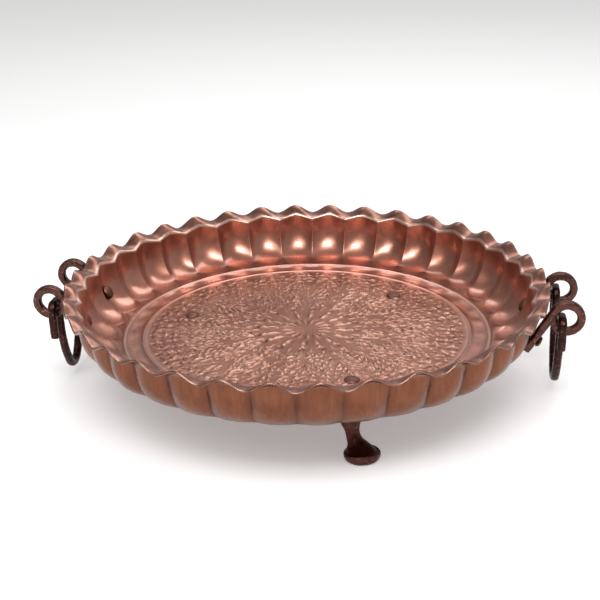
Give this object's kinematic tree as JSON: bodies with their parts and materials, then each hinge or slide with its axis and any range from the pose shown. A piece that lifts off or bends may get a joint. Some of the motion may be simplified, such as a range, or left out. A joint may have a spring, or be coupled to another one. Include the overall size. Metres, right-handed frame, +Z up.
{
  "type": "footed serving tray",
  "caption": "Round fluted copper tray with a chased floor, on riveted hoof feet, with a drop bail handle hinged in lugs at each side.",
  "frame": {"origin": "on the ground, on the tray's axis, midway between the outermost points of its lugs", "axes": "+Z up, +X towards the right bail along the line through both bails, +Y towards the back"},
  "size_m": [0.3628, 0.3214, 0.0787],
  "materials": {
    "copper_sheet": "hand-hammered copper, worn polish with brown patina",
    "dark_lugs": "forged, dark brown patina",
    "dark_bails": "forged, dark brown patina, worn on its bends",
    "dark_feet": "cast, dark brown patina, rubbed bright at the toe",
    "dark_rivets": "hammered heads, dark brown patina"
  },
  "bodies": {
    "tray": {"tray_body": "copper_sheet", "lug_right_front": "dark_lugs", "lug_right_back": "dark_lugs", "lug_left_front": "dark_lugs", "lug_left_back": "dark_lugs", "lug_rivet_right_front": "dark_rivets", "lug_rivet_right_back": "dark_rivets", "lug_rivet_left_front": "dark_rivets", "lug_rivet_left_back": "dark_rivets", "foot_front": "dark_feet", "foot_back_right": "dark_feet", "foot_left": "dark_feet", "foot_rivet_front": "dark_rivets", "foot_rivet_back_right": "dark_rivets", "foot_rivet_left": "dark_rivets"},
    "right_bail": {"bail_right": "dark_bails"},
    "left_bail": {"bail_left": "dark_bails"}
  },
  "joints": [
    {"name": "right_bail_swing", "type": "hinge", "parent": "tray", "child": "right_bail", "pos_m": [0.1667, 0, 0.065], "axis": [0, -1, 0], "range_deg": [-40, 190]},
    {"name": "left_bail_swing", "type": "hinge", "parent": "tray", "child": "left_bail", "pos_m": [-0.1667, 0, 0.065], "axis": [0, 1, 0], "range_deg": [-40, 190]}
  ]
}
